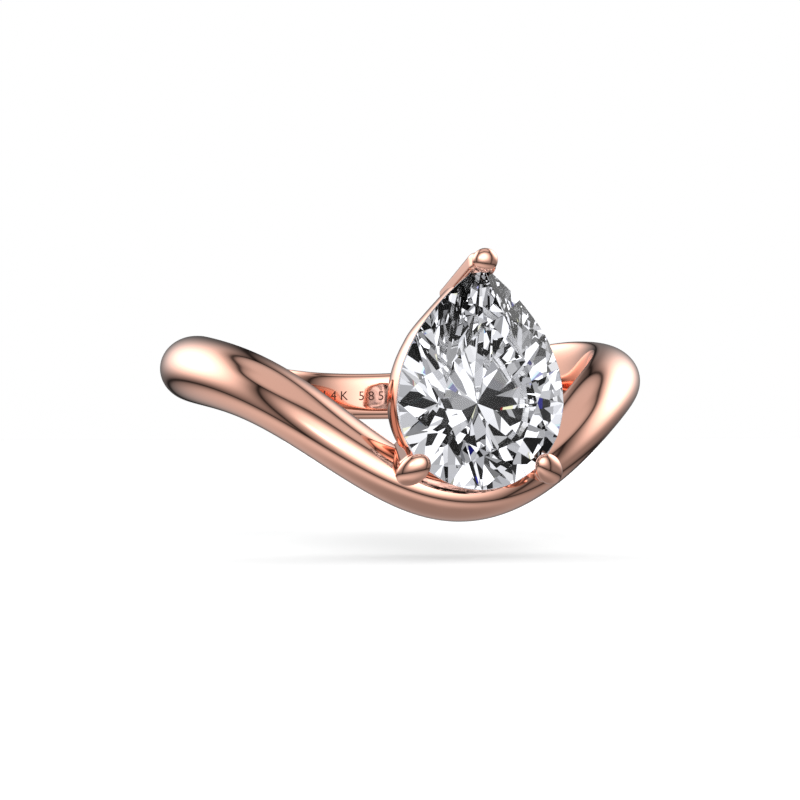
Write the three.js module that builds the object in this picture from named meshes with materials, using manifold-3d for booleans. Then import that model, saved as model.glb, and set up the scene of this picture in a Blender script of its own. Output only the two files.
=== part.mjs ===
// Pear solitaire engagement ring: a wave band, a three-claw basket head and a pear brilliant stone.
// Millimetres. The origin is the centre of the finger hole, +Z runs along the hole, and the stone
// faces -Y. The ring is the same left and right of the plane x = 0.

import * as THREE from 'three';
import { mergeVertices } from 'three/addons/utils/BufferGeometryUtils.js';
import Module from 'manifold-3d';

const wasm = await Module();
wasm.setup();

// Band. Its width and the height of its centre line are cosine series of the angle from the stone.
const FINGER_RADIUS = 8.6;
const BAND_THICKNESS = 2.15;
const INNER_ROUNDING = 0.55;
const INNER_FLATNESS = 0.45;
const BAND_WIDTH = [2.57, -0.07, -0.35];
const BAND_WAVE = [0, -1.51, -1.55, -0.49, -0.25, -0.13];
const BAND_SEGMENTS = 96;
const SECTION_SEGMENTS = 24;

// Stone, worked out lying flat: x across, y towards its point, z up through its table.
const STONE_HALF_WIDTH = 3.32;
const POINT_LENGTH = 5.31;
const FLANK_POWER = 2.12;
const GIRDLE_THICKNESS = 0.24;
const CROWN_HEIGHT = 0.98;
const PAVILION_DEPTH = 2.82;
const TABLE_SCALE = 0.57;
const STAR_LENGTH = 0.5;
const LOWER_HALF_LENGTH = 0.78;
const MAIN_FACETS = 8;
const SCALLOP_STEPS = 3;
const SETTING = new THREE.Vector3(0, -11.85, -0.32);

// Basket head: one crowned rail behind the stone, and three claws.
const RAIL_Y = -9.9;
const RAIL_HALF_THICKNESS = 0.45;
const RAIL_HALF_HEIGHT = 0.95;
const RAIL_INSET = 0.62;
const RAIL_TIP_RADIUS = 0.75;
const RAIL_PLACES = [0.4, 0.6, 0.8, 1, 1.25, 1.5, 1.75, 2];
const RAIL_SEGMENTS = 64;
const RAIL_SECTION_SEGMENTS = 16;
const CLAW_WIDTH = 1.02;
const CLAW_DEPTH = 0.76;
const CLAW_SQUARENESS = 4;
const CLAW_FOOT_Y = -8.78;
const CLAW_STANDOFF = 0.1;
const BAR_CAP_STEPS = 6;
const BAR_SIDES = 24;
const BEAD_SEGMENTS = 20;
const BEAD_RINGS = 14;
const FOOT_ALLOWANCE = 1;
const WASTE_SIZE = 4;
const POINT_CLAW = {
  turn: 0,
  reach: POINT_LENGTH,
  beadHalfAxes: [0.5, 0.36, 0.48],
  beadY: -12.36,
  beadOffset: 0.12,
  beadLean: -17,
  footOffset: -1.03,
  flare: 1.45,
};
const LOWER_CLAW = {
  reach: STONE_HALF_WIDTH,
  beadHalfAxes: [0.53, 0.36, 0.76],
  beadY: -11.95,
  beadOffset: 0.4,
  beadLean: 27,
  footOffset: -0.57,
  flare: 1.25,
};
const CLAWS = [
  { name: 'claw_point', ...POINT_CLAW },
  { name: 'claw_left', turn: -133, ...LOWER_CLAW },
  { name: 'claw_right', turn: 133, ...LOWER_CLAW },
];
const SOLDER_GAP = 0.06;
const WELD_DISTANCE = 1e-4;
const TANGENT_STEP = 1e-3;

const ROSE_GOLD = { color: 0xc58f7a, roughness: 0.12, metalness: 1 };
const DIAMOND = { color: 0xf4f6fa, roughness: 0.02, metalness: 0 };

const ring = new THREE.Group();

function addPiece(name, geometry, finish) {
  const mesh = new THREE.Mesh(geometry, new THREE.MeshStandardMaterial(finish));
  mesh.name = name;
  mesh.geometry.computeVertexNormals();
  ring.add(mesh);
}

// --- solids: joining and cutting ---------------------------------------------------------------

function toSolid(geometry) {
  const bare = geometry.clone();
  bare.deleteAttribute('normal');
  bare.deleteAttribute('uv');
  const merged = mergeVertices(bare, WELD_DISTANCE);
  const vertProperties = new Float32Array(merged.attributes.position.array);
  const triVerts = new Uint32Array(merged.index.array);
  return new wasm.Manifold(new wasm.Mesh({ numProp: 3, vertProperties, triVerts }));
}

function toGeometry(solid) {
  const bodies = solid.decompose();
  const largest = bodies.reduce((best, body) => (body.volume() > best.volume() ? body : best));
  const mesh = largest.getMesh();
  const geometry = new THREE.BufferGeometry();
  geometry.setAttribute('position', new THREE.BufferAttribute(mesh.vertProperties, 3));
  geometry.setIndex(new THREE.BufferAttribute(mesh.triVerts, 1));
  return geometry;
}

function cut(geometry, ...cutters) {
  const remainder = cutters.reduce((solid, cutter) => solid.subtract(toSolid(cutter)), toSolid(geometry));
  return toGeometry(remainder);
}

// --- band --------------------------------------------------------------------------------------

function cosineSeries(terms, angle) {
  return terms.reduce((sum, term, order) => sum + term * Math.cos(order * angle), 0);
}

function cosineSlope(terms, angle) {
  return terms.reduce((sum, term, order) => sum - term * order * Math.sin(order * angle), 0);
}

function softened(value, power) {
  return Math.sign(value) * Math.abs(value) ** power;
}

// The band's section, as radius and share of the half width: a half ellipse on the outside,
// and on the finger side a flat line that rounds over at its edges.
function bandSection(growth) {
  const points = [];
  for (let i = 0; i < SECTION_SEGMENTS; i += 1) {
    const turn = (-2 * Math.PI * i) / SECTION_SEGMENTS;
    const outside = Math.sin(turn) > 0;
    const power = outside ? 1 : INNER_FLATNESS;
    const depth = outside ? BAND_THICKNESS - INNER_ROUNDING : INNER_ROUNDING;
    const radius = FINGER_RADIUS + INNER_ROUNDING + softened(Math.sin(turn), power) * (depth + growth);
    points.push(new THREE.Vector2(radius, softened(Math.cos(turn), power)));
  }
  points.push(points[0].clone());
  return points;
}

// The section is turned into a plain ring. Each slice is then widened, leaned and lifted by the wave.
function bandGeometry(growth = 0) {
  const geometry = new THREE.LatheGeometry(bandSection(growth), BAND_SEGMENTS);
  const position = geometry.attributes.position;
  const middleRadius = FINGER_RADIUS + BAND_THICKNESS / 2;
  for (let i = 0; i < position.count; i += 1) {
    const radius = Math.hypot(position.getX(i), position.getZ(i));
    const turn = Math.atan2(position.getX(i), position.getZ(i));
    const reach = position.getY(i) * (cosineSeries(BAND_WIDTH, turn) / 2 + growth);
    const slope = cosineSlope(BAND_WAVE, turn) / middleRadius;
    const lean = Math.hypot(1, slope);
    const angle = turn - (reach * slope) / lean / middleRadius;
    const height = cosineSeries(BAND_WAVE, turn) + reach / lean;
    position.setXYZ(i, radius * Math.sin(angle), -radius * Math.cos(angle), height);
  }
  return geometry;
}

// --- stone -------------------------------------------------------------------------------------

// A place on the pear outline: 0 at its point, 1 at the widest place on the right, 2 at the middle
// of the round end, 3 at the widest place on the left.
function outline(place) {
  const wrapped = ((place % 4) + 4) % 4;
  const side = wrapped > 2 ? -1 : 1;
  const along = wrapped > 2 ? 4 - wrapped : wrapped;
  if (along > 1) {
    const turn = ((along - 1) * Math.PI) / 2;
    return new THREE.Vector2(side * Math.cos(turn), -Math.sin(turn)).multiplyScalar(STONE_HALF_WIDTH);
  }
  const rise = 1 - along;
  return new THREE.Vector2(side * STONE_HALF_WIDTH * (1 - rise ** FLANK_POWER), rise * POINT_LENGTH);
}

function outlineTangent(place) {
  return outline(place + TANGENT_STEP).sub(outline(place - TANGENT_STEP)).normalize();
}

function raised(point, height) {
  return new THREE.Vector3(point.x, point.y, height);
}

function planeThrough(a, b, c) {
  return new THREE.Plane().setFromCoplanarPoints(a, b, c);
}

function meetingPoint(first, second, third) {
  const a = new THREE.Vector3().crossVectors(second.normal, third.normal);
  const b = new THREE.Vector3().crossVectors(third.normal, first.normal);
  const c = new THREE.Vector3().crossVectors(first.normal, second.normal);
  const volume = first.normal.dot(a);
  a.multiplyScalar(first.constant).addScaledVector(b, second.constant).addScaledVector(c, third.constant);
  return a.divideScalar(-volume);
}

// The scalloped edge of a half facet, from one girdle place to another, in the facet's own plane.
function scallop(from, to, plane, edge) {
  const points = [];
  for (let step = 0; step <= SCALLOP_STEPS; step += 1) {
    const spot = outline(from + ((to - from) * step) / SCALLOP_STEPS);
    const atEnd = step === 0 || step === SCALLOP_STEPS;
    const height = -(plane.normal.x * spot.x + plane.normal.y * spot.y + plane.constant) / plane.normal.z;
    points.push(raised(spot, atEnd ? edge : height));
  }
  return points;
}

// The crown or the pavilion. Each main facet runs from the girdle to its own corner: a corner of
// the table, or the culet. Two neighbours meet in an inner point, and two half facets lie outside it.
function stoneSide(edge, cornerOf, reach) {
  const sector = 4 / MAIN_FACETS;
  const mains = [];
  for (let i = 0; i <= MAIN_FACETS; i += 1) {
    const place = i * sector;
    const foot = raised(outline(place), edge);
    const sideways = foot.clone().add(raised(outlineTangent(place), 0));
    const corner = cornerOf(place);
    mains.push({ place, foot, corner, plane: planeThrough(foot, sideways, corner) });
  }
  const facets = [];
  const rim = [];
  const inners = [];
  for (let i = 0; i < MAIN_FACETS; i += 1) {
    const [left, right] = [mains[i], mains[i + 1]];
    const middlePlace = left.place + sector / 2;
    const middle = raised(outline(middlePlace), edge);
    const start = left.corner.clone().lerp(right.corner, 0.5);
    const target = start.clone().lerp(middle, reach);
    const wall = new THREE.Vector3(middle.x, middle.y, 0).normalize();
    const stop = new THREE.Plane(wall, -wall.dot(target));
    const inner = meetingPoint(left.plane, right.plane, stop);
    const firstHalf = scallop(left.place, middlePlace, planeThrough(left.foot, middle, inner), edge);
    const secondHalf = scallop(middlePlace, right.place, planeThrough(middle, right.foot, inner), edge);
    facets.push([inner, ...firstHalf], [inner, ...secondHalf]);
    rim.push(...firstHalf.slice(0, -1), ...secondHalf.slice(0, -1));
    inners.push(inner);
  }
  for (let i = 0; i < MAIN_FACETS; i += 1) {
    const before = inners[(i + MAIN_FACETS - 1) % MAIN_FACETS];
    facets.push([mains[i].corner, before, mains[i].foot, inners[i]]);
  }
  return { facets, rim, inners, corners: mains.slice(0, MAIN_FACETS).map((main) => main.corner) };
}

// Each facet is a fan of triangles about its first corner, turned to face away from the middle.
function facetedGeometry(facets) {
  const positions = [];
  for (const facet of facets) {
    for (let i = 1; i < facet.length - 1; i += 1) {
      const triangle = new THREE.Triangle(facet[0], facet[i], facet[i + 1]);
      const normal = triangle.getNormal(new THREE.Vector3());
      const outwards = normal.dot(triangle.getMidpoint(new THREE.Vector3())) > 0;
      const order = outwards ? [triangle.a, triangle.b, triangle.c] : [triangle.a, triangle.c, triangle.b];
      order.forEach((corner) => positions.push(...corner.toArray()));
    }
  }
  const geometry = new THREE.BufferGeometry();
  geometry.setAttribute('position', new THREE.Float32BufferAttribute(positions, 3));
  return geometry;
}

function stoneGeometry() {
  const edge = GIRDLE_THICKNESS / 2;
  const culet = new THREE.Vector3(0, 0, -edge - PAVILION_DEPTH);
  const tableCorner = (place) => raised(outline(place).multiplyScalar(TABLE_SCALE), edge + CROWN_HEIGHT);
  const crown = stoneSide(edge, tableCorner, STAR_LENGTH);
  const pavilion = stoneSide(-edge, () => culet, 1 - LOWER_HALF_LENGTH);
  const facets = [...crown.facets, ...pavilion.facets];
  crown.corners.forEach((corner, i) => {
    facets.push([corner, crown.inners[i], crown.corners[(i + 1) % MAIN_FACETS]]);
  });
  facets.push([new THREE.Vector3(0, 0, edge + CROWN_HEIGHT), ...crown.corners, crown.corners[0]]);
  crown.rim.forEach((point, i) => {
    const next = (i + 1) % crown.rim.length;
    facets.push([point, crown.rim[next], pavilion.rim[next], pavilion.rim[i]]);
  });
  return facetedGeometry(facets);
}

// Lifts a piece worked out lying flat to its place in the head: the table then faces -Y.
function setInHead(geometry) {
  return geometry.rotateX(Math.PI / 2).translate(SETTING.x, SETTING.y, SETTING.z);
}

// --- gallery rail ------------------------------------------------------------------------------

// Half of the rail's centre line, from its rounded tip down the right side to the round end.
function railPoints() {
  const tipAngle = Math.atan(POINT_LENGTH / (STONE_HALF_WIDTH * FLANK_POWER));
  const tipTop = POINT_LENGTH - RAIL_INSET / Math.cos(tipAngle);
  const arcCentre = tipTop - RAIL_TIP_RADIUS / Math.cos(tipAngle);
  const points = [new THREE.Vector3(0, arcCentre + RAIL_TIP_RADIUS, 0)];
  const arcEnd = new THREE.Vector3(Math.sin(tipAngle), Math.cos(tipAngle), 0).multiplyScalar(RAIL_TIP_RADIUS);
  points.push(arcEnd.add(new THREE.Vector3(0, arcCentre, 0)));
  for (const place of RAIL_PLACES) {
    const tangent = outlineTangent(place);
    const inwards = new THREE.Vector2(tangent.y, -tangent.x);
    points.push(raised(outline(place).addScaledVector(inwards, RAIL_INSET), 0));
  }
  return points;
}

// A plain torus whose slices are moved to the pear centre line.
function railGeometry() {
  const right = railPoints();
  const left = right.slice(1, -1).reverse().map((point) => new THREE.Vector3(-point.x, point.y, 0));
  const path = new THREE.CatmullRomCurve3([...right, ...left], true, 'centripetal');
  const geometry = new THREE.TorusGeometry(1, RAIL_HALF_THICKNESS, RAIL_SECTION_SEGMENTS, RAIL_SEGMENTS);
  geometry.scale(1, 1, RAIL_HALF_HEIGHT / RAIL_HALF_THICKNESS);
  const position = geometry.attributes.position;
  for (let i = 0; i < position.count; i += 1) {
    const turn = Math.atan2(position.getX(i), position.getY(i)) / (2 * Math.PI);
    const outwards = Math.hypot(position.getX(i), position.getY(i)) - 1;
    const share = (turn + 1) % 1;
    const tangent = path.getTangentAt(share);
    const centre = path.getPointAt(share);
    position.setX(i, centre.x - tangent.y * outwards);
    position.setY(i, centre.y + tangent.x * outwards);
  }
  return geometry.rotateX(Math.PI / 2).translate(0, RAIL_Y, SETTING.z);
}

// --- claws -------------------------------------------------------------------------------------

// The claw's bar, from its top at the origin along +y to its foot: a squared section that widens
// towards the foot.
function barGeometry(length, flare, growth) {
  const bar = new THREE.CapsuleGeometry(0.5, length, BAR_CAP_STEPS, BAR_SIDES).translate(0, length / 2, 0);
  const position = bar.attributes.position;
  for (let i = 0; i < position.count; i += 1) {
    const radius = Math.hypot(position.getX(i), position.getZ(i));
    if (radius < WELD_DISTANCE) continue;
    const across = Math.abs(position.getX(i)) / radius;
    const outwards = Math.abs(position.getZ(i)) / radius;
    const squared = (across ** CLAW_SQUARENESS + outwards ** CLAW_SQUARENESS) ** (-1 / CLAW_SQUARENESS);
    const share = THREE.MathUtils.clamp(position.getY(i) / length, 0, 1);
    const width = CLAW_WIDTH * THREE.MathUtils.lerp(1, flare, share) + 2 * growth;
    position.setX(i, position.getX(i) * squared * width);
    position.setZ(i, position.getZ(i) * squared * (CLAW_DEPTH + 2 * growth));
  }
  return bar;
}

// A claw is made at the top of the stone: a bar that leans outwards from its flat foot, and a flat
// bead on its end. It is then turned about the stone's axis to its place on the girdle.
function clawGeometry(claw, growth = 0) {
  const beadZ = claw.reach + claw.beadOffset;
  const [across, thick, long] = claw.beadHalfAxes.map((halfAxis) => halfAxis + growth);
  const bead = new THREE.SphereGeometry(1, BEAD_SEGMENTS, BEAD_RINGS);
  bead.scale(across, thick, long);
  bead.rotateX(THREE.MathUtils.degToRad(-claw.beadLean));
  bead.translate(0, claw.beadY, beadZ);
  const top = new THREE.Vector3(0, claw.beadY + CLAW_DEPTH / 2, beadZ + CLAW_STANDOFF);
  const foot = new THREE.Vector3(0, CLAW_FOOT_Y, claw.reach + claw.footOffset);
  const bar = barGeometry(top.distanceTo(foot) + FOOT_ALLOWANCE, claw.flare, growth);
  bar.rotateX(Math.atan2(foot.z - top.z, foot.y - top.y));
  bar.translate(top.x, top.y, top.z);
  const waste = new THREE.BoxGeometry(WASTE_SIZE, WASTE_SIZE, WASTE_SIZE);
  waste.translate(0, CLAW_FOOT_Y + growth + WASTE_SIZE / 2, foot.z);
  const solid = toGeometry(toSolid(bar).add(toSolid(bead)).subtract(toSolid(waste)));
  return solid.rotateY(THREE.MathUtils.degToRad(claw.turn)).translate(0, 0, SETTING.z);
}

// --- assembly ----------------------------------------------------------------------------------

const bandClearance = bandGeometry(SOLDER_GAP);
const seatScale = 1 + SOLDER_GAP / STONE_HALF_WIDTH;
const stoneSeat = setInHead(stoneGeometry().scale(seatScale, seatScale, seatScale));
const clawClearances = CLAWS.map((claw) => clawGeometry(claw, SOLDER_GAP));

addPiece('shank', bandGeometry(), ROSE_GOLD);
addPiece('gallery_rail', cut(railGeometry(), bandClearance, ...clawClearances), ROSE_GOLD);
for (const claw of CLAWS) {
  addPiece(claw.name, cut(clawGeometry(claw), stoneSeat, bandClearance), ROSE_GOLD);
}
addPiece('center_stone', setInHead(stoneGeometry()), DIAMOND);

export default ring;
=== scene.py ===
import math

import bmesh
import bpy
from mathutils import Matrix, Vector
from mathutils.geometry import normal


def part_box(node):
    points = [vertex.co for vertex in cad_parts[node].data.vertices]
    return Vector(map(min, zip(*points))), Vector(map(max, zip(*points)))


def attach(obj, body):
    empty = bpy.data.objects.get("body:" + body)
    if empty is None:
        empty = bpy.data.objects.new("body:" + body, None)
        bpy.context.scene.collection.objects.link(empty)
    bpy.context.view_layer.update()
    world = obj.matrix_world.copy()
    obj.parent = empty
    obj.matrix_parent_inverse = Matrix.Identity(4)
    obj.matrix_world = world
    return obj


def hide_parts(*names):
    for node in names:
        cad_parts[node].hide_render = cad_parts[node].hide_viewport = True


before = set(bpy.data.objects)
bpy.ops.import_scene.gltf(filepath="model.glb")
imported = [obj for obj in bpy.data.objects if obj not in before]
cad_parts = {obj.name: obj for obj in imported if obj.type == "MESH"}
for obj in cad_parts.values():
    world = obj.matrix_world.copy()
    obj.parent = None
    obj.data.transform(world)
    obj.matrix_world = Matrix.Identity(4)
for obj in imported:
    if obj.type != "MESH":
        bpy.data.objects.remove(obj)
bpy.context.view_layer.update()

# ---------------------------------------------------------------------------- shank
# The shank is one cast and polished rose gold band. It stands high at the sides of the finger and
# dips in one wave under the stone. Its outside is half round, its finger side flat and eased.

FINGER_RADIUS = 8.6
BAND_THICKNESS = 2.15
INNER_ROUNDING = 0.55
OUTER_FULLNESS = 2.0
INNER_FULLNESS = 4.44
BAND_WIDTH = [2.57, -0.07, -0.35]
BAND_WAVE = [0.0, -1.51, -1.55, -0.49, -0.25, -0.13]
BAND_SLICES = 420
BAND_SECTION_POINTS = 96
MILLIMETRE = 0.001
WELD_DISTANCE = 1e-5
ROSE_GOLD_PALE = (0.87, 0.495, 0.385, 1.0)
ROSE_GOLD_DEEP = (0.84, 0.462, 0.352, 1.0)
POLISH_LINES = 26000.0
POLISH_STRETCH = 0.0004
POLISH_DEPTH = 1.5e-7
POLISH_CLOUDS = 420.0
MIRROR_ROUGHNESS = 0.015
CLOUD_ROUGHNESS = 0.03
HAIRLINE_ROUGHNESS = 0.05


class Reading:
    """A number that is worked out by the nodes of a tree."""

    def __init__(self, tree, socket):
        self.tree = tree
        self.socket = socket

    def through(self, operation, *others):
        node = self.tree.nodes.new("ShaderNodeMath")
        node.operation = operation
        for place, value in enumerate([self, *others]):
            if isinstance(value, Reading):
                self.tree.links.new(value.socket, node.inputs[place])
            else:
                node.inputs[place].default_value = value
        return Reading(self.tree, node.outputs[0])

    def __add__(self, other):
        return self.through("ADD", other)

    def __sub__(self, other):
        return self.through("SUBTRACT", other)

    def __mul__(self, other):
        return self.through("MULTIPLY", other)

    def __truediv__(self, other):
        return self.through("DIVIDE", other)

    def __pow__(self, other):
        return self.through("POWER", other)


def add_node(tree, kind, feeds=None, **settings):
    """A node with its settings and with its inputs linked or filled in."""
    node = tree.nodes.new(kind)
    for name, value in settings.items():
        setattr(node, name, value)
    for name, value in (feeds or {}).items():
        if isinstance(value, Reading):
            tree.links.new(value.socket, node.inputs[name])
        elif isinstance(value, bpy.types.NodeSocket):
            tree.links.new(value, node.inputs[name])
        else:
            node.inputs[name].default_value = value
    return node


def split(tree, vector):
    parts = add_node(tree, "ShaderNodeSeparateXYZ", {"Vector": vector})
    return [Reading(tree, part) for part in parts.outputs]


def polished_rose_gold():
    """14 carat rose gold, machine polished: hairline marks along the polishing direction."""
    material = bpy.data.materials.new("rose_gold_polished")
    material.use_nodes = True
    tree = material.node_tree
    shader = tree.nodes["Principled BSDF"]
    shader.inputs["Metallic"].default_value = 1.0
    place = add_node(tree, "ShaderNodeTexCoord").outputs["Object"]
    x, y, z = split(tree, place)
    angle = x.through("ARCTAN2", y)
    radius = (x * x + y * y).through("SQRT")
    along = add_node(
        tree,
        "ShaderNodeCombineXYZ",
        {"X": angle * POLISH_STRETCH, "Y": radius, "Z": z},
    )
    cloud = add_node(
        tree, "ShaderNodeTexNoise", {"Vector": place, "Scale": POLISH_CLOUDS, "Detail": 3.0}
    )
    hairlines = add_node(
        tree,
        "ShaderNodeTexNoise",
        {"Vector": along.outputs[0], "Scale": POLISH_LINES, "Detail": 4.0, "Roughness": 0.65},
    )
    tone = add_node(
        tree,
        "ShaderNodeMix",
        {
            "Factor": cloud.outputs["Fac"],
            "A": ROSE_GOLD_PALE,
            "B": ROSE_GOLD_DEEP,
        },
        data_type="RGBA",
    )
    tree.links.new(tone.outputs["Result"], shader.inputs["Base Color"])
    roughness = Reading(tree, hairlines.outputs["Fac"]) * HAIRLINE_ROUGHNESS + (
        Reading(tree, cloud.outputs["Fac"]) * CLOUD_ROUGHNESS + MIRROR_ROUGHNESS
    )
    tree.links.new(roughness.socket, shader.inputs["Roughness"])
    bump = add_node(
        tree,
        "ShaderNodeBump",
        {"Strength": 0.5, "Distance": POLISH_DEPTH, "Height": hairlines.outputs["Fac"]},
    )
    tree.links.new(bump.outputs["Normal"], shader.inputs["Normal"])
    return material


rose_gold = polished_rose_gold()


def size_tree(name, sizes):
    """An empty Geometry Nodes tree with a named input for each size."""
    tree = bpy.data.node_groups.new(name, "GeometryNodeTree")
    tree.interface.new_socket("Geometry", in_out="INPUT", socket_type="NodeSocketGeometry")
    for label in sizes:
        tree.interface.new_socket(label, in_out="INPUT", socket_type="NodeSocketFloat")
    tree.interface.new_socket("Geometry", in_out="OUTPUT", socket_type="NodeSocketGeometry")
    entry = tree.nodes.new("NodeGroupInput")
    readings = {label: Reading(tree, entry.outputs[label]) for label in sizes}
    return tree, entry.outputs["Geometry"], readings


def close_tree(tree, geometry, material):
    """Ends a tree: smooth faces, real geometry and its material."""
    smooth = add_node(tree, "GeometryNodeSetShadeSmooth", {"Geometry": geometry})
    real = add_node(
        tree, "GeometryNodeRealizeInstances", {"Geometry": smooth.outputs[0]}
    )
    finished = add_node(
        tree, "GeometryNodeSetMaterial", {"Geometry": real.outputs[0], "Material": material}
    )
    leave = tree.nodes.new("NodeGroupOutput")
    tree.links.new(finished.outputs[0], leave.inputs[0])


def grown_mesh(tree, sizes, start=None):
    """Runs a tree with its sizes in millimetres and returns the plain mesh it makes."""
    start = start or bpy.data.meshes.new(tree.name)
    source = bpy.data.objects.new(tree.name, start)
    bpy.context.scene.collection.objects.link(source)
    modifier = source.modifiers.new("shape", "NODES")
    modifier.node_group = tree
    for item in tree.interface.items_tree:
        if item.in_out == "INPUT" and item.name in sizes:
            modifier[item.identifier] = sizes[item.name]
    bpy.context.view_layer.update()
    depsgraph = bpy.context.evaluated_depsgraph_get()
    mesh = bpy.data.meshes.new_from_object(source.evaluated_get(depsgraph), depsgraph=depsgraph)
    bpy.data.objects.remove(source)
    return mesh


def finished_piece(name, mesh, node, slot):
    """Takes a mesh from millimetres to metres and sets it in the frame, in place of a CAD node if
    one is named. Light inside the stone passes the gold by, so that its facets stay colourless."""
    mesh.name = name
    mesh.transform(Matrix.Scale(MILLIMETRE, 4))
    piece = bpy.data.objects.new(name, mesh)
    bpy.context.scene.collection.objects.link(piece)
    piece.visible_transmission = slot != "rose_gold"
    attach(piece, "root")
    if node:
        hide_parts(node)
    return piece


def outward(mesh):
    """Welds the seams of a mesh and turns all its faces outwards."""
    shell = bmesh.new()
    shell.from_mesh(mesh)
    bmesh.ops.remove_doubles(shell, verts=shell.verts, dist=WELD_DISTANCE)
    bmesh.ops.recalc_face_normals(shell, faces=shell.faces)
    shell.to_mesh(mesh)
    shell.free()
    return mesh


band_sizes = {
    "Finger Radius": FINGER_RADIUS,
    "Thickness": BAND_THICKNESS,
    "Inner Rounding": INNER_ROUNDING,
    "Outer Fullness": OUTER_FULLNESS,
    "Inner Fullness": INNER_FULLNESS,
}
band_sizes |= {f"Width {order}": term for order, term in enumerate(BAND_WIDTH)}
band_sizes |= {f"Wave {order}": term for order, term in enumerate(BAND_WAVE)}


def cosine_series(turn, terms):
    """Height and slope of a sum of cosines of the angle from the stone."""
    height = turn * 0.0
    slope = turn * 0.0
    for order, term in enumerate(terms):
        height = height + (turn * float(order)).through("COSINE") * term
        slope = slope - (turn * float(order)).through("SINE") * term * float(order)
    return height, slope


def wave_band_tree():
    """Bends a flat sheet into the band: one side of it runs round the finger, the other round the
    section. Each slice is as wide as the width series says, and leans and lifts with the wave."""
    tree, _, size = size_tree("wave_band", band_sizes)
    sheet = add_node(
        tree,
        "GeometryNodeMeshGrid",
        {
            "Size X": 2 * math.pi,
            "Size Y": 2 * math.pi,
            "Vertices X": BAND_SLICES + 1,
            "Vertices Y": BAND_SECTION_POINTS + 1,
        },
    )
    turn, round_section, _ = split(tree, add_node(tree, "GeometryNodeInputPosition").outputs[0])
    across = round_section.through("COSINE")
    up = round_section.through("SINE")
    outside = up.through("GREATER_THAN", 0.0)
    inside = up.through("LESS_THAN", 0.0)
    fullness = size["Outer Fullness"] * outside + size["Inner Fullness"] * (
        (outside - 1.0).through("ABSOLUTE")
    )
    total = across.through("ABSOLUTE") ** fullness + up.through("ABSOLUTE") ** fullness
    scale = total ** (fullness ** -1.0 * -1.0)
    depth = (
        outside * (size["Thickness"] - size["Inner Rounding"]) + inside * size["Inner Rounding"]
    )
    radius = size["Finger Radius"] + size["Inner Rounding"] + up * scale * depth
    widths = [size[f"Width {order}"] for order in range(len(BAND_WIDTH))]
    waves = [size[f"Wave {order}"] for order in range(len(BAND_WAVE))]
    middle = size["Finger Radius"] + size["Thickness"] / 2.0
    reach = across * scale * cosine_series(turn, widths)[0] / 2.0
    wave, rise = cosine_series(turn, waves)
    slope = rise / middle
    lean = (slope * slope + 1.0).through("SQRT")
    angle = turn - reach * slope / lean / middle
    bent = add_node(
        tree,
        "ShaderNodeCombineXYZ",
        {
            "X": radius * angle.through("SINE"),
            "Y": radius * angle.through("COSINE") * -1.0,
            "Z": wave + reach / lean,
        },
    )
    band = add_node(
        tree,
        "GeometryNodeSetPosition",
        {"Geometry": sheet.outputs["Mesh"], "Position": bent.outputs[0]},
    )
    close_tree(tree, band.outputs[0], rose_gold)
    return tree


shank_mesh = outward(grown_mesh(wave_band_tree(), band_sizes))
finished_piece("polished_shank", shank_mesh, "shank", "rose_gold")

# ---------------------------------------------------------------------------- fineness mark
# The fineness of the gold is marked by laser on the finger side of the band, behind the head: a
# shallow darkened trace that a touch of the polishing wheel has left slightly uneven.

MARK_TEXT = "14K 585"
MARK_HEIGHT = 0.45
MARK_SPACING = 1.55
MARK_TURN = 181.0
MARK_PROUD = 0.008
CAPITAL_SHARE = 0.7
LASER_DARK = (0.03, 0.015, 0.01, 1.0)
LASER_PALE = (0.16, 0.08, 0.06, 1.0)
LASER_ROUGHNESS = 0.55
LASER_SPECKS = 9000.0


def laser_trace():
    """Gold burnt dark by the laser, with paler specks where the polish has caught it."""
    material = bpy.data.materials.new("laser_trace")
    material.use_nodes = True
    tree = material.node_tree
    shader = tree.nodes["Principled BSDF"]
    shader.inputs["Metallic"].default_value = 1.0
    shader.inputs["Roughness"].default_value = LASER_ROUGHNESS
    place = add_node(tree, "ShaderNodeTexCoord").outputs["Object"]
    specks = add_node(
        tree, "ShaderNodeTexNoise", {"Vector": place, "Scale": LASER_SPECKS, "Detail": 3.0}
    )
    tone = add_node(
        tree,
        "ShaderNodeMix",
        {
            "Factor": specks.outputs["Fac"],
            "A": LASER_DARK,
            "B": LASER_PALE,
        },
        data_type="RGBA",
    )
    tree.links.new(tone.outputs["Result"], shader.inputs["Base Color"])
    return material


def fineness_mark():
    """Flat lettering bent on to the finger side, along the middle line of the band."""
    lettering = bpy.data.curves.new("fineness", "FONT")
    lettering.body = MARK_TEXT
    lettering.size = MARK_HEIGHT / CAPITAL_SHARE
    lettering.space_character = MARK_SPACING
    lettering.align_x = "CENTER"
    lettering.align_y = "CENTER"
    lettering.extrude = MARK_PROUD
    source = bpy.data.objects.new("fineness", lettering)
    mesh = bpy.data.meshes.new_from_object(source)
    bpy.data.objects.remove(source)
    for vertex in mesh.vertices:
        along, up, proud = vertex.co
        turn = math.radians(MARK_TURN) - along / FINGER_RADIUS
        wave = sum(term * math.cos(order * turn) for order, term in enumerate(BAND_WAVE))
        radius = FINGER_RADIUS - proud
        vertex.co = (radius * math.sin(turn), -radius * math.cos(turn), wave + up)
    mesh.materials.clear()
    mesh.materials.append(laser_trace())
    return outward(mesh)


finished_piece("fineness_mark", fineness_mark(), None, "rose_gold")

# ---------------------------------------------------------------------------- centre stone
# The stone is a pear brilliant of about 1.3 carat: a table and three rows of crown facets over a
# thin bruted girdle, and a pavilion whose main facets all meet in the culet behind it.

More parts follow.
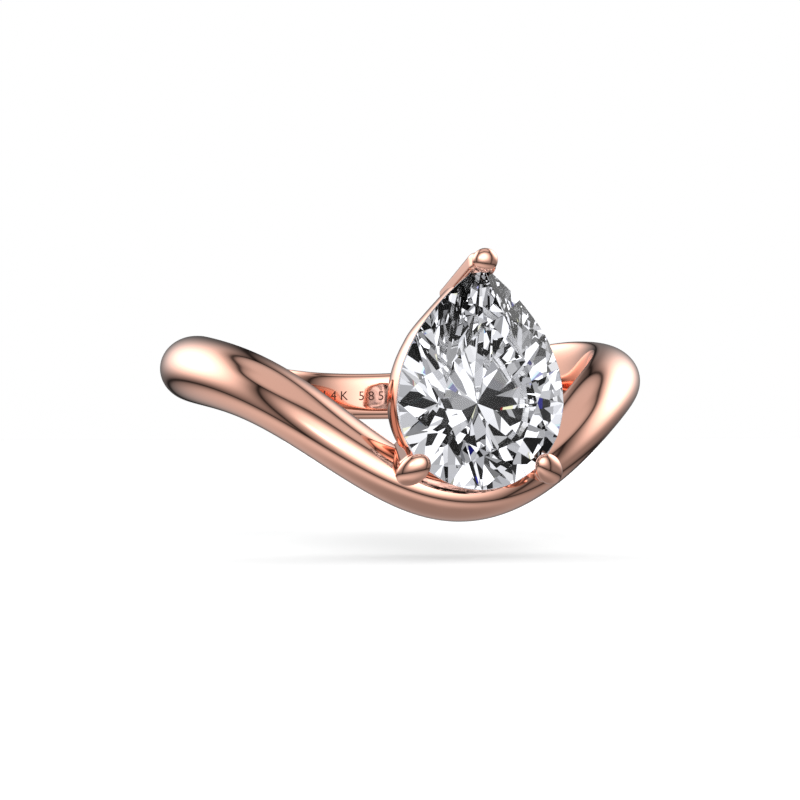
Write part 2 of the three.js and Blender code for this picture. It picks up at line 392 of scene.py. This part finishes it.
stone_low, stone_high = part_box("center_stone")
STONE_HALF_WIDTH = (stone_high.x - stone_low.x) / 2 / MILLIMETRE
STONE_AXIS_HEIGHT = stone_low.z / MILLIMETRE + STONE_HALF_WIDTH
POINT_LENGTH = stone_high.z / MILLIMETRE - STONE_AXIS_HEIGHT
TABLE_FACE_Y = stone_low.y / MILLIMETRE
FLANK_POWER = 2.12
GIRDLE_THICKNESS = 0.24
CROWN_HEIGHT = 0.98
PAVILION_DEPTH = 2.82
TABLE_SCALE = 0.57
STAR_LENGTH = 0.5
LOWER_HALF_LENGTH = 0.78
MAIN_FACETS = 8
SCALLOP_STEPS = 8
TANGENT_STEP = 0.001
DIAMOND_IOR = 2.417
FRONT_GLEAM = (0.12, 0.12, 0.12, 1.0)
BRUTED_SHARE = 0.84
BRUTED_GRAIN = 30000.0
BRUTED_DEPTH = 1e-6
GIRDLE_CENTRE_Y = TABLE_FACE_Y + CROWN_HEIGHT + GIRDLE_THICKNESS / 2


def pear_outline(place):
    """A spot on the girdle: 0 at the point, 1 at the widest place on the right, 2 at the middle of
    the round end, 3 at the widest place on the left."""
    wrapped = place % 4
    side = -1 if wrapped > 2 else 1
    along = 4 - wrapped if wrapped > 2 else wrapped
    if along > 1:
        turn = (along - 1) * math.pi / 2
        return Vector((side * math.cos(turn), -math.sin(turn), 0)) * STONE_HALF_WIDTH
    rise = 1 - along
    return Vector((side * STONE_HALF_WIDTH * (1 - rise**FLANK_POWER), rise * POINT_LENGTH, 0))


def outline_tangent(place):
    ahead, back = pear_outline(place + TANGENT_STEP), pear_outline(place - TANGENT_STEP)
    return (ahead - back).normalized()


def plane_through(a, b, c):
    """A plane as its normal and its distance from the stone's middle."""
    facing = normal(a, b, c)
    return facing, facing.dot(a)


def meeting_point(*planes):
    return Matrix([plane[0] for plane in planes]).inverted() @ Vector([p[1] for p in planes])


def scalloped_edge(start, end, plane, edge):
    """The curved edge of a half facet along the girdle, in the facet's own plane."""
    points = []
    for step in range(SCALLOP_STEPS + 1):
        spot = pear_outline(start + (end - start) * step / SCALLOP_STEPS)
        facing, distance = plane
        spot.z = (distance - facing.x * spot.x - facing.y * spot.y) / facing.z
        if step in (0, SCALLOP_STEPS):
            spot.z = edge
        points.append(spot)
    return points


def cut_side(edge, corner_of, reach):
    """The facets of the crown or of the pavilion, from the girdle to the table or the culet."""
    sector = 4 / MAIN_FACETS
    mains = []
    for number in range(MAIN_FACETS + 1):
        place = number * sector
        foot = pear_outline(place) + Vector((0, 0, edge))
        corner = corner_of(place)
        plane = plane_through(foot, foot + outline_tangent(place), corner)
        mains.append((place, foot, corner, plane))
    facets, rim, inners = [], [], []
    for left, right in zip(mains, mains[1:]):
        middle_place = left[0] + sector / 2
        middle = pear_outline(middle_place) + Vector((0, 0, edge))
        target = left[2].lerp(right[2], 0.5).lerp(middle, reach)
        wall = Vector((middle.x, middle.y, 0)).normalized()
        inner = meeting_point(left[3], right[3], (wall, wall.dot(target)))
        left_half = plane_through(left[1], middle, inner)
        right_half = plane_through(middle, right[1], inner)
        first = scalloped_edge(left[0], middle_place, left_half, edge)
        second = scalloped_edge(middle_place, right[0], right_half, edge)
        facets += [[inner, *first], [inner, *second]]
        rim += first[:-1] + second[:-1]
        inners.append(inner)
    for number in range(MAIN_FACETS):
        facets.append([mains[number][2], inners[number - 1], mains[number][1], inners[number]])
    return facets, rim, inners, [main[2] for main in mains[:-1]]


def cut_diamond():
    """All the facets of the stone lying on its back, each one flat polygon."""
    edge = GIRDLE_THICKNESS / 2
    culet = Vector((0, 0, -edge - PAVILION_DEPTH))

    def table_corner(place):
        return pear_outline(place) * TABLE_SCALE + Vector((0, 0, edge + CROWN_HEIGHT))

    facets, top_rim, inners, corners = cut_side(edge, table_corner, STAR_LENGTH)
    lower = cut_side(-edge, lambda place: culet, 1 - LOWER_HALF_LENGTH)
    facets += lower[0]
    for number in range(MAIN_FACETS):
        facets.append([corners[number], inners[number], corners[(number + 1) % MAIN_FACETS]])
    facets.append(corners)
    for number, point in enumerate(top_rim):
        following = (number + 1) % len(top_rim)
        facets.append([point, top_rim[following], lower[1][following], lower[1][number]])
    return facets


def set_upright(mesh, scale=1.0):
    """Turns a mesh that lies on its back to face the front, at the stone's place in the head."""
    place = Matrix.Translation((0, GIRDLE_CENTRE_Y, STONE_AXIS_HEIGHT))
    mesh.transform(place @ Matrix.Rotation(math.pi / 2, 4, "X") @ Matrix.Scale(scale, 4))
    return mesh


def facet_mesh(name, facets, scale=1.0):
    corners, faces = [], []
    for facet in facets:
        faces.append(range(len(corners), len(corners) + len(facet)))
        corners += facet
    mesh = bpy.data.meshes.new(name)
    mesh.from_pydata(corners, [], faces)
    return outward(set_upright(mesh, scale))


def brilliant_diamond():
    """Colourless diamond: mirror polished facets, and a girdle left with its fine bruted grain."""
    material = bpy.data.materials.new("diamond_cut")
    material.use_nodes = True
    tree = material.node_tree
    shader = tree.nodes["Principled BSDF"]
    shader.inputs["Base Color"].default_value = (1.0, 1.0, 1.0, 1.0)
    shader.inputs["IOR"].default_value = DIAMOND_IOR
    shader.inputs["Transmission Weight"].default_value = 1.0
    shader.inputs["Specular Tint"].default_value = FRONT_GLEAM
    place = add_node(tree, "ShaderNodeTexCoord").outputs["Object"]
    depth = split(tree, place)[1] - GIRDLE_CENTRE_Y * MILLIMETRE
    girdle = depth.through("ABSOLUTE").through(
        "LESS_THAN", GIRDLE_THICKNESS / 2 * BRUTED_SHARE * MILLIMETRE
    )
    grain = add_node(
        tree, "ShaderNodeTexNoise", {"Vector": place, "Scale": BRUTED_GRAIN, "Detail": 3.0}
    )
    roughness = girdle * (Reading(tree, grain.outputs["Fac"]) * 0.2 + 0.12)
    tree.links.new(roughness.socket, shader.inputs["Roughness"])
    bump = add_node(
        tree,
        "ShaderNodeBump",
        {"Strength": girdle * 0.4, "Distance": BRUTED_DEPTH, "Height": grain.outputs["Fac"]},
    )
    tree.links.new(bump.outputs["Normal"], shader.inputs["Normal"])
    return material


stone_facets = cut_diamond()
stone_mesh = facet_mesh("stone", stone_facets)
stone_mesh.materials.append(brilliant_diamond())
finished_piece("pear_brilliant", stone_mesh, "center_stone", "diamond")

# ---------------------------------------------------------------------------- gallery rail
# The rail is a rose gold strip with crowned sides, bent to the pear shape. It stands just behind
# the stone, is soldered to the top of the band below, and carries the three claws.

RAIL_Y = -9.9
RAIL_HALF_THICKNESS = 0.45
RAIL_HALF_HEIGHT = 0.95
RAIL_INSET = 0.62
RAIL_TIP_RADIUS = 0.75
RAIL_TIP_STEPS = 3
RAIL_SIDE_STEPS = 12
RAIL_SIDE_START = 0.4
RAIL_POINTS = 320
RAIL_SECTION_POINTS = 64


def rail_line():
    """The centre line of the rail: the pear outline drawn in by the inset, with a rounded tip."""
    tip_angle = math.atan(POINT_LENGTH / (STONE_HALF_WIDTH * FLANK_POWER))
    tip_top = POINT_LENGTH - RAIL_INSET / math.cos(tip_angle)
    arc_centre = tip_top - RAIL_TIP_RADIUS / math.cos(tip_angle)
    right = []
    for step in range(RAIL_TIP_STEPS + 1):
        turn = tip_angle * step / RAIL_TIP_STEPS
        right.append(
            Vector((math.sin(turn), math.cos(turn), 0)) * RAIL_TIP_RADIUS
            + Vector((0, arc_centre, 0))
        )
    for step in range(RAIL_SIDE_STEPS + 1):
        place = RAIL_SIDE_START + (2 - RAIL_SIDE_START) * step / RAIL_SIDE_STEPS
        tangent = outline_tangent(place)
        inwards = Vector((tangent.y, -tangent.x, 0))
        right.append(pear_outline(place) + inwards * RAIL_INSET)
    left = [Vector((-point.x, point.y, 0)) for point in reversed(right[1:-1])]
    line = bpy.data.curves.new("rail_line", "CURVE")
    line.dimensions = "3D"
    spline = line.splines.new("POLY")
    spline.points.add(len(right + left) - 1)
    for spot, point in zip(spline.points, right + left):
        spot.co = (point.x, RAIL_Y, STONE_AXIS_HEIGHT + point.y, 1)
    spline.use_cyclic_u = True
    return line


def rail_tree():
    """Draws the crowned section along the centre line, its tall side along the stone's axis."""
    tree, line, size = size_tree("gallery_rail", ["Half Thickness", "Half Height"])
    smooth_line = add_node(tree, "GeometryNodeCurveSplineType", {"Curve": line})
    smooth_line.spline_type = "CATMULL_ROM"
    even_line = add_node(
        tree,
        "GeometryNodeResampleCurve",
        {"Curve": smooth_line.outputs[0], "Count": RAIL_POINTS},
    )
    level_line = add_node(
        tree,
        "GeometryNodeSetCurveNormal",
        {"Curve": even_line.outputs[0], "Normal": (0.0, 1.0, 0.0)},
        mode="FREE",
    )
    circle = add_node(
        tree,
        "GeometryNodeCurvePrimitiveCircle",
        {"Resolution": RAIL_SECTION_POINTS, "Radius": 1.0},
    )
    half_axes = add_node(
        tree,
        "ShaderNodeCombineXYZ",
        {"X": size["Half Height"], "Y": size["Half Thickness"], "Z": 1.0},
    )
    section = add_node(
        tree,
        "GeometryNodeTransform",
        {"Geometry": circle.outputs[0], "Scale": half_axes.outputs[0]},
    )
    rail = add_node(
        tree,
        "GeometryNodeCurveToMesh",
        {"Curve": level_line.outputs[0], "Profile Curve": section.outputs[0]},
    )
    close_tree(tree, rail.outputs[0], rose_gold)
    return tree


rail_sizes = {"Half Thickness": RAIL_HALF_THICKNESS, "Half Height": RAIL_HALF_HEIGHT}
rail_mesh = outward(grown_mesh(rail_tree(), rail_sizes, rail_line()))
finished_piece("pear_gallery_rail", rail_mesh, "gallery_rail", "rose_gold")

# ---------------------------------------------------------------------------- claws
# Three cast claws rise from the rail, lean outwards past the girdle, and are pushed over the crown
# with a flat rounded bead. A seat filed in each one takes the edge of the stone.

CLAW_WIDTH = 1.02
CLAW_DEPTH = 0.76
CLAW_EDGE_RADIUS = 0.22
CLAW_NOSE = 0.12
CLAW_DOME_SHARE = 0.14
CLAW_FOOT_Y = -8.78
CLAW_STANDOFF = 0.1
BAR_STEPS = 80
BAR_EDGE_STEPS = 8
BAR_TIP_FLAT = 0.001
BEAD_SEGMENTS = 64
BEAD_RINGS = 48
SEAT_CLEARANCE = 0.02
CASTING_GRAIN = 0.022
POLISH_ROUNDS = 9
CRISP_ANGLE = math.radians(35)
POINT_CLAW = {
    "Reach": POINT_LENGTH,
    "Bead Across": 0.5,
    "Bead Thickness": 0.36,
    "Bead Length": 0.48,
    "Bead Y": -12.36,
    "Bead Offset": 0.12,
    "Bead Lean": -17.0,
    "Foot Offset": -1.03,
    "Flare": 0.45,
}
LOWER_CLAW = {
    "Reach": STONE_HALF_WIDTH,
    "Bead Across": 0.53,
    "Bead Thickness": 0.36,
    "Bead Length": 0.76,
    "Bead Y": -11.95,
    "Bead Offset": 0.4,
    "Bead Lean": 27.0,
    "Foot Offset": -0.57,
    "Flare": 0.25,
}
CLAWS = {
    "claw_point": {"Turn": 0.0, **POINT_CLAW},
    "claw_left": {"Turn": -133.0, **LOWER_CLAW},
    "claw_right": {"Turn": 133.0, **LOWER_CLAW},
}


def claw_tree():
    """A squared bar that narrows from its flat foot up past the girdle to a domed end, and the
    flat bead over it, both turned about the stone's axis to their place."""
    tree, _, size = size_tree("claw", ["Turn", *POINT_CLAW])

    def spot(**readings):
        return add_node(tree, "ShaderNodeCombineXYZ", readings).outputs[0]

    bead_height = size["Reach"] + size["Bead Offset"]
    ball = add_node(
        tree,
        "GeometryNodeMeshUVSphere",
        {"Segments": BEAD_SEGMENTS, "Rings": BEAD_RINGS, "Radius": 1.0},
    )
    bead = add_node(
        tree,
        "GeometryNodeTransform",
        {
            "Geometry": ball.outputs["Mesh"],
            "Translation": spot(Y=size["Bead Y"], Z=bead_height),
            "Rotation": spot(X=(size["Bead Lean"] * -1.0).through("RADIANS")),
            "Scale": spot(
                X=size["Bead Across"], Y=size["Bead Thickness"], Z=size["Bead Length"]
            ),
        },
    )
    nose_y = size["Bead Y"] - CLAW_NOSE
    lean = add_node(
        tree,
        "GeometryNodeCurvePrimitiveLine",
        {
            "Start": spot(Y=nose_y, Z=bead_height + CLAW_STANDOFF),
            "End": spot(Y=CLAW_FOOT_Y, Z=size["Reach"] + size["Foot Offset"]),
        },
    )
    steps = add_node(
        tree, "GeometryNodeResampleCurve", {"Curve": lean.outputs[0], "Count": BAR_STEPS}
    )
    along = Reading(tree, add_node(tree, "GeometryNodeSplineParameter").outputs["Factor"])
    before_dome = (along / -CLAW_DOME_SHARE + 1.0).through("MAXIMUM", 0.0)
    level = add_node(
        tree,
        "GeometryNodeSetCurveNormal",
        {"Curve": steps.outputs[0], "Normal": (1.0, 0.0, 0.0)},
        mode="FREE",
    )
    rectangle = add_node(
        tree,
        "GeometryNodeCurvePrimitiveQuadrilateral",
        {"Width": CLAW_WIDTH, "Height": CLAW_DEPTH},
    )
    section = add_node(
        tree,
        "GeometryNodeFilletCurve",
        {
            "Curve": rectangle.outputs[0],
            "Radius": CLAW_EDGE_RADIUS,
            "Count": BAR_EDGE_STEPS,
        },
        mode="POLY",
    )
    bar = add_node(
        tree,
        "GeometryNodeCurveToMesh",
        {
            "Curve": level.outputs[0],
            "Profile Curve": section.outputs[0],
            "Scale": (before_dome * before_dome * -1.0 + (1.0 + BAR_TIP_FLAT)).through("SQRT"),
            "Fill Caps": True,
        },
    )
    x, y, z = split(tree, add_node(tree, "GeometryNodeInputPosition").outputs[0])
    share = (y - nose_y) / (nose_y * -1.0 + CLAW_FOOT_Y)
    flared = add_node(
        tree,
        "GeometryNodeSetPosition",
        {
            "Geometry": bar.outputs[0],
            "Position": spot(X=x * (share * size["Flare"] + 1.0), Y=y, Z=z),
        },
    )
    joined = add_node(tree, "GeometryNodeJoinGeometry")
    tree.links.new(bead.outputs[0], joined.inputs[0])
    tree.links.new(flared.outputs[0], joined.inputs[0])
    turned = add_node(
        tree,
        "GeometryNodeTransform",
        {
            "Geometry": joined.outputs[0],
            "Rotation": spot(Y=size["Turn"].through("RADIANS")),
            "Translation": (0.0, 0.0, STONE_AXIS_HEIGHT),
        },
    )
    close_tree(tree, turned.outputs[0], rose_gold)
    return tree


def cast_claw(mesh, seat):
    """Runs bar and bead together as one polished casting, then files the seat for the stone."""
    claw = bpy.data.objects.new("claw_casting", mesh)
    bpy.context.scene.collection.objects.link(claw)
    grain = claw.modifiers.new("casting", "REMESH")
    grain.mode = "VOXEL"
    grain.voxel_size = CASTING_GRAIN
    grain.use_smooth_shade = True
    polish = claw.modifiers.new("polish", "SMOOTH")
    polish.factor = 0.5
    polish.iterations = POLISH_ROUNDS
    filing = claw.modifiers.new("seat", "BOOLEAN")
    filing.object = seat
    filing.operation = "DIFFERENCE"
    bpy.context.view_layer.update()
    depsgraph = bpy.context.evaluated_depsgraph_get()
    cast = bpy.data.meshes.new_from_object(claw.evaluated_get(depsgraph), depsgraph=depsgraph)
    bpy.data.objects.remove(claw)
    cast.shade_smooth()
    cast.set_sharp_from_angle(angle=CRISP_ANGLE)
    cast.materials.clear()
    cast.materials.append(rose_gold)
    return cast


seat_scale = 1 + SEAT_CLEARANCE / STONE_HALF_WIDTH
seat_cutter = bpy.data.objects.new("seat_cutter", facet_mesh("seat", stone_facets, seat_scale))
bpy.context.scene.collection.objects.link(seat_cutter)
bare_claw = claw_tree()
for node, sizes in CLAWS.items():
    claw_mesh = cast_claw(grown_mesh(bare_claw, sizes), seat_cutter)
    finished_piece("cast_" + node, claw_mesh, node, "rose_gold")
bpy.data.objects.remove(seat_cutter)

# ---------------------------------------------------------------------------- studio
# The ring is shown just above a white table, in a jeweller's light tent: three tall soft boxes
# with narrow unlit gaps between them, one small key light, a dimmer ceiling and a grey bounce
# from below. The stone gets its light from cards of its own.

FLOOR_HEIGHT = -0.0063
FLOOR_SIZE = 1.2
FLOOR_WHITE = (0.85, 0.85, 0.85, 1.0)
FLOOR_GLOW = 0.265
CAMERA_DISTANCE = 0.075
CAMERA_TURN = -15.2
CAMERA_RISE = -1.0
CAMERA_LENS = 74.6
SOFT_BOXES = (
    {"turn": -133.0, "half_width": 62.0, "rise": 30.0, "half_height": 41.0, "power": 3.0},
    {"turn": -14.0, "half_width": 61.0, "rise": 15.0, "half_height": 50.0, "power": 2.9},
    {"turn": 107.0, "half_width": 61.0, "rise": 32.0, "half_height": 42.0, "power": 3.4},
)
KEY_LIGHT = {"turn": -45.0, "half_width": 7.0, "rise": 10.0, "half_height": 8.0, "power": 2.0}
BACK_SHADE = {"turn": 164.8, "half_width": 34.0, "rise": 0.0, "half_height": 34.0, "power": -0.65}
BOX_SPILL = 0.33
FIRST_GAP_TURN = -74.0
GAP_COUNT = 3
GAP_BELLS = ((2.0, 0.8), (7.5, 0.55))
TOP_EDGE_RISE = 58.0
TOP_EDGE_WAVE = 6.0
TOP_EDGE_TURN = -132.0
LOW_EDGE_RISE = -22.0
LOW_EDGE_WAVE = -15.0
LOW_EDGE_TURN = 12.0
CEILING_POWER = 0.8
BOUNCE = {"base": 0.36, "peak": 0.34, "wave": 0.22, "turn": -70.0, "depth": 20.0, "half": 17.0}
CARD_SCALE = 2.8
CARD_TINT = (0.975, 0.985, 1.04)
CARD_CENTRE = 1.3
CARD_FADE = -0.8
GREY_CARDS = {"from": 0.13, "base": 0.33, "shade": 0.75}
WHITE_CARDS = {"from": 0.62, "extra": 0.75}
DARKEST_CARD = 0.008
FIRE_OFFSETS = (-0.001, 0.0, 0.005)
FIRE_STRENGTH = 0.4


def light_tent():
    """Light by direction. Metal sees the boxes, the gaps between them, the ceiling and the bounce
    from below. Light that has passed through the stone comes from its own cards, light and dark,
    with the three colours a little apart, which gives the stone its fire."""
    world = bpy.data.worlds.new("light_tent")
    world.use_nodes = True
    tree = world.node_tree
    tree.nodes.clear()
    direction = add_node(tree, "ShaderNodeTexCoord").outputs["Generated"]
    x, y, z = split(tree, direction)
    azimuth = x.through("ARCTAN2", y * -1.0)
    elevation = z.through("ARCSINE")

    def hump(offset, half):
        """1 where the offset is 0, falling softly to 0 at half the width of a box."""
        arc = (offset / math.radians(half)).through("ABSOLUTE").through("MINIMUM", 1.0)
        return (arc * (math.pi / 2)).through("COSINE") ** 2.0

    def bell(offset, half):
        """1 where the offset is 0, and fading without an edge."""
        share = offset / math.radians(half)
        return (share * share * -1.0).through("EXPONENT")

    def glow(light, shape):
        """The light of one lamp, whose brightness falls off in the given shape."""
        turned = (azimuth - math.radians(light["turn"])).through("WRAP", math.pi, -math.pi)
        across = shape(turned, light["half_width"])
        upwards = shape(elevation - math.radians(light["rise"]), light["half_height"])
        return across * upwards * light["power"]

    def wave_of(times, middle):
        return ((azimuth - math.radians(middle)) * times).through("COSINE")

    def dimmed_along(distance):
        """The dark gap between two boxes, and the fall-off of light towards it."""
        (gap, gap_depth), (slope, slope_depth) = GAP_BELLS
        return (bell(distance, gap) * -gap_depth + 1.0) * (
            bell(distance, slope) * -slope_depth + 1.0
        )

    boxes = glow(KEY_LIGHT, bell) + BOX_SPILL
    for soft_box in SOFT_BOXES:
        boxes = boxes + glow(soft_box, hump)
    half_turns = GAP_COUNT / 2
    from_gap = ((azimuth - math.radians(FIRST_GAP_TURN)) * half_turns).through("SINE") / half_turns
    top_edge = (wave_of(3.0, TOP_EDGE_TURN) * TOP_EDGE_WAVE + TOP_EDGE_RISE).through("RADIANS")
    low_edge = (wave_of(1.0, LOW_EDGE_TURN) * LOW_EDGE_WAVE + LOW_EDGE_RISE).through("RADIANS")
    strength = wave_of(1.0, BOUNCE["turn"]) * BOUNCE["wave"] + BOUNCE["peak"]
    deepest = low_edge - elevation - math.radians(BOUNCE["depth"])
    bounce = bell(deepest, BOUNCE["half"]) * strength + BOUNCE["base"]
    above = elevation.through("GREATER_THAN", top_edge)
    below = elevation.through("LESS_THAN", low_edge)
    beside = (above + below) * -1.0 + 1.0
    tent = boxes * dimmed_along(from_gap) * beside + above * CEILING_POWER + bounce * below
    tent = tent * (glow(BACK_SHADE, bell) + 1.0)
    tent = tent * dimmed_along(elevation - top_edge) * dimmed_along(elevation - low_edge)

    def card_light(offset):
        """Black, grey and white cards round the stone, seen a little to one side."""
        shifted = add_node(
            tree, "ShaderNodeVectorMath", {0: direction, 1: (offset, 0.0, offset)}
        )
        cards = add_node(
            tree,
            "ShaderNodeTexVoronoi",
            {"Vector": shifted.outputs[0], "Scale": CARD_SCALE},
            distance="MANHATTAN",
        )
        parts = add_node(tree, "ShaderNodeSeparateColor", {"Color": cards.outputs["Color"]})
        shade = Reading(tree, parts.outputs[0])
        fade = Reading(tree, cards.outputs["Distance"]) * CARD_FADE + CARD_CENTRE
        lit = shade.through("GREATER_THAN", GREY_CARDS["from"])
        grey = lit * (shade * GREY_CARDS["shade"] + GREY_CARDS["base"])
        white = shade.through("GREATER_THAN", WHITE_CARDS["from"]) * WHITE_CARDS["extra"]
        return (grey + white) * fade + DARKEST_CARD

    path = add_node(tree, "ShaderNodeLightPath")
    seen = Reading(tree, path.outputs["Is Camera Ray"])
    through_stone = Reading(tree, path.outputs["Is Transmission Ray"])
    plain = card_light(0.0) * (1.0 - FIRE_STRENGTH)
    colours = []
    for offset, tint in zip(FIRE_OFFSETS, CARD_TINT):
        cards = (plain + card_light(offset) * FIRE_STRENGTH) * tint
        mixed = cards * through_stone + tent * (through_stone * -1.0 + 1.0)
        colours.append(mixed * (seen * -1.0 + 1.0) + seen)
    light = add_node(
        tree, "ShaderNodeCombineColor", dict(zip(("Red", "Green", "Blue"), colours))
    )
    background = add_node(tree, "ShaderNodeBackground", {"Color": light.outputs[0]})
    leave = add_node(tree, "ShaderNodeOutputWorld")
    tree.links.new(background.outputs[0], leave.inputs["Surface"])
    return world


bpy.context.scene.world = light_tent()


def table_top():
    """A matt white board that is seen from above only, and not by metal or through the stone."""
    board = bpy.data.meshes.new("table_top")
    half = FLOOR_SIZE / 2
    corners = [(-half, -half), (half, -half), (half, half), (-half, half)]
    board.from_pydata([(x, y, FLOOR_HEIGHT) for x, y in corners], [], [(0, 1, 2, 3)])
    material = bpy.data.materials.new("matt_white_board")
    material.use_nodes = True
    tree = material.node_tree
    shader = tree.nodes["Principled BSDF"]
    shader.inputs["Base Color"].default_value = FLOOR_WHITE
    shader.inputs["Roughness"].default_value = 0.9
    shader.inputs["Specular IOR Level"].default_value = 0.0
    shader.inputs["Emission Color"].default_value = (1.0, 1.0, 1.0, 1.0)
    shader.inputs["Emission Strength"].default_value = FLOOR_GLOW
    behind = add_node(tree, "ShaderNodeNewGeometry").outputs["Backfacing"]
    clear = add_node(tree, "ShaderNodeBsdfTransparent")
    mix = add_node(tree, "ShaderNodeMixShader", {"Fac": behind})
    tree.links.new(shader.outputs[0], mix.inputs[1])
    tree.links.new(clear.outputs[0], mix.inputs[2])
    tree.links.new(mix.outputs[0], tree.nodes["Material Output"].inputs["Surface"])
    board.materials.append(material)
    table = bpy.data.objects.new("table_top", board)
    bpy.context.scene.collection.objects.link(table)
    table.visible_glossy = False
    table.visible_transmission = False


table_top()

lens = bpy.data.cameras.new("studio_camera")
lens.sensor_width = 36.0
lens.lens = CAMERA_LENS
lens.clip_start = 0.001
lens.clip_end = 10.0
camera = bpy.data.objects.new("studio_camera", lens)
bpy.context.scene.collection.objects.link(camera)
turn, rise = math.radians(CAMERA_TURN), math.radians(CAMERA_RISE)
towards_camera = Vector(
    (math.sin(turn) * math.cos(rise), -math.cos(turn) * math.cos(rise), math.sin(rise))
)
camera.location = towards_camera * CAMERA_DISTANCE
camera.rotation_mode = "QUATERNION"
camera.rotation_quaternion = (-towards_camera).to_track_quat("-Z", "Y")
scene = bpy.context.scene
scene.camera = camera
scene.view_settings.view_transform = "Standard"
scene.cycles.max_bounces = 14
scene.cycles.transmission_bounces = 8
scene.cycles.glossy_bounces = 8
scene.cycles.caustics_reflective = False
scene.cycles.caustics_refractive = False

bpy.context.view_layer.update()
